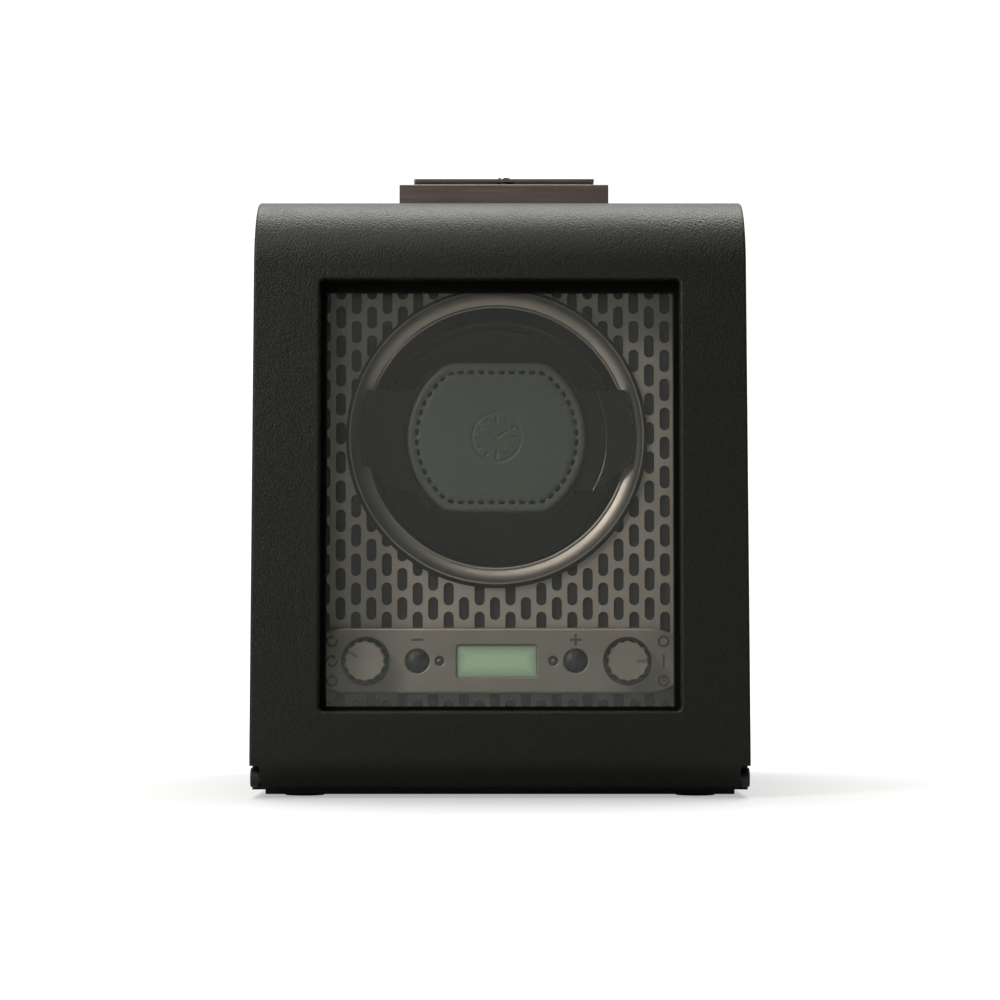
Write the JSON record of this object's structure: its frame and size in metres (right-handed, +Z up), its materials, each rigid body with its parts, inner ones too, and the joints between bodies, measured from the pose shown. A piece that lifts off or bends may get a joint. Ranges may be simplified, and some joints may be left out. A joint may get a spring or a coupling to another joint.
{
  "type": "watch winder box",
  "caption": "Single watch winder box with a hinged, windowed leather cover, a belt-driven drum and watch cuff behind glass, and a control fascia with knobs, buttons and a display.",
  "frame": {"origin": "centre of the footprint on the surface that the feet rest on", "axes": "+Z up, the window faces -Y, +X to the viewer's right"},
  "size_m": [0.17, 0.2, 0.2191],
  "materials": {
    "leather_black": "fine pebble grain, satin",
    "cuff_leather": "smooth matte",
    "frame_black": "matte",
    "gasket_rubber": "matte",
    "pane_glass": "clear",
    "plate_metal": "taupe powder coat",
    "fascia_metal": "taupe satin",
    "latch_metal": "gunmetal satin",
    "bezel_metal": "satin gunmetal",
    "steel": "bright",
    "hinge_metal": "black satin",
    "brass": "turned",
    "black_plastic": "satin",
    "lining": "suede",
    "pulley_plastic": "moulded",
    "motor_can": "plated",
    "board": "solder mask",
    "display": "pale green",
    "lamp": "diffused",
    "button_rubber": "matte",
    "batten_wood": "sawn"
  },
  "bodies": {
    "case": {"base_plate": "black_plastic", "battens": "batten_wood", "bearing_bush": "brass", "board_screws": "steel", "bracket_screws": "steel", "case_shell": "leather_black", "cavity_liner": "lining", "control_board": "board", "control_fascia": "fascia_metal", "dc_jack": "black_plastic", "drive_belt": "gasket_rubber", "fascia_nuts": "steel", "feet": "gasket_rubber", "front_plate": "plate_metal", "gear_motor": "motor_can", "hinge_brackets": "hinge_metal", "hinge_pins": "steel", "indicator_leds": "lamp", "latch_block": "latch_metal", "latch_screws": "steel", "lcd_module": "display", "module_tray": "black_plastic", "motor_screws": "steel", "plate_backing": "black_plastic", "plate_screws": "steel", "rear_panel": "black_plastic", "rear_panel_screws": "steel", "release_spring": "steel", "rotary_switches": "black_plastic", "tact_switches": "black_plastic", "tray_screws": "steel"},
    "cover": {"cover_shell": "leather_black", "window_frame": "frame_black", "glass_gasket": "gasket_rubber", "glass_pane": "pane_glass", "glass_retainer": "frame_black", "hinge_bushes": "brass", "keeper_tongue": "steel", "keeper_screws": "steel", "cover_bumpers": "frame_black"},
    "release": {"release_plate": "latch_metal", "release_plunger": "steel", "release_screw": "steel"},
    "drum": {"drum_cup": "black_plastic", "drum_bezel": "bezel_metal", "drum_shaft": "steel", "drum_pulley": "pulley_plastic", "shaft_clip": "steel", "cuff_clips": "steel"},
    "motor_shaft": {"motor_pulley": "pulley_plastic"},
    "cuff": {"cuff_frame": "black_plastic", "cuff_pad": "cuff_leather", "cuff_springs": "steel"},
    "cuff_tail": {"cuff_rear": "black_plastic"},
    "direction_selector": {"direction_knob": "fascia_metal", "direction_spindle": "steel"},
    "mode_selector": {"mode_knob": "fascia_metal", "mode_spindle": "steel"},
    "minus": {"minus_button": "button_rubber"},
    "plus": {"plus_button": "button_rubber"}
  },
  "joints": [
    {"name": "cover_hinge", "type": "hinge", "parent": "case", "child": "cover", "pos_m": [0, -0.0935, 0.007], "axis": [1, 0, 0], "range_deg": [0, 90]},
    {"name": "latch_press", "type": "slide", "parent": "case", "child": "release", "axis": [0, 0, -1], "range_m": [0, 0.0008], "stiffness_N_per_m": 600, "springref_m": -0.002, "deforming": ["release_spring"]},
    {"name": "drum_spin", "type": "hinge", "parent": "case", "child": "drum", "pos_m": [-0.0012, 0, 0.1252], "axis": [0, -1, 0], "continuous": true},
    {"name": "motor_spin", "type": "hinge", "parent": "case", "child": "motor_shaft", "pos_m": [-0.0012, 0, 0.05], "axis": [0, -1, 0], "continuous": true},
    {"name": "cuff_pull", "type": "slide", "parent": "drum", "child": "cuff", "axis": [0, -1, 0], "range_m": [0, 0.016]},
    {"name": "cuff_squeeze", "type": "slide", "parent": "cuff", "child": "cuff_tail", "axis": [0, -1, 0], "range_m": [0, 0.006], "stiffness_N_per_m": 300, "springref_m": -0.005, "deforming": ["cuff_springs"]},
    {"name": "direction_turn", "type": "hinge", "parent": "case", "child": "direction_selector", "pos_m": [-0.0468, 0, 0.0465], "axis": [0, -1, 0], "range_deg": [0, 60]},
    {"name": "mode_turn", "type": "hinge", "parent": "case", "child": "mode_selector", "pos_m": [0.0444, 0, 0.0465], "axis": [0, -1, 0], "range_deg": [-30, 30]},
    {"name": "minus_press", "type": "slide", "parent": "case", "child": "minus", "axis": [0, 1, 0], "range_m": [0, 0.0008], "stiffness_N_per_m": 400, "springref_m": -0.002},
    {"name": "plus_press", "type": "slide", "parent": "case", "child": "plus", "axis": [0, 1, 0], "range_m": [0, 0.0008], "stiffness_N_per_m": 400, "springref_m": -0.002}
  ],
  "couplings": [
    {"joint": "motor_spin", "follows": "drum_spin", "ratio": 4}
  ]
}
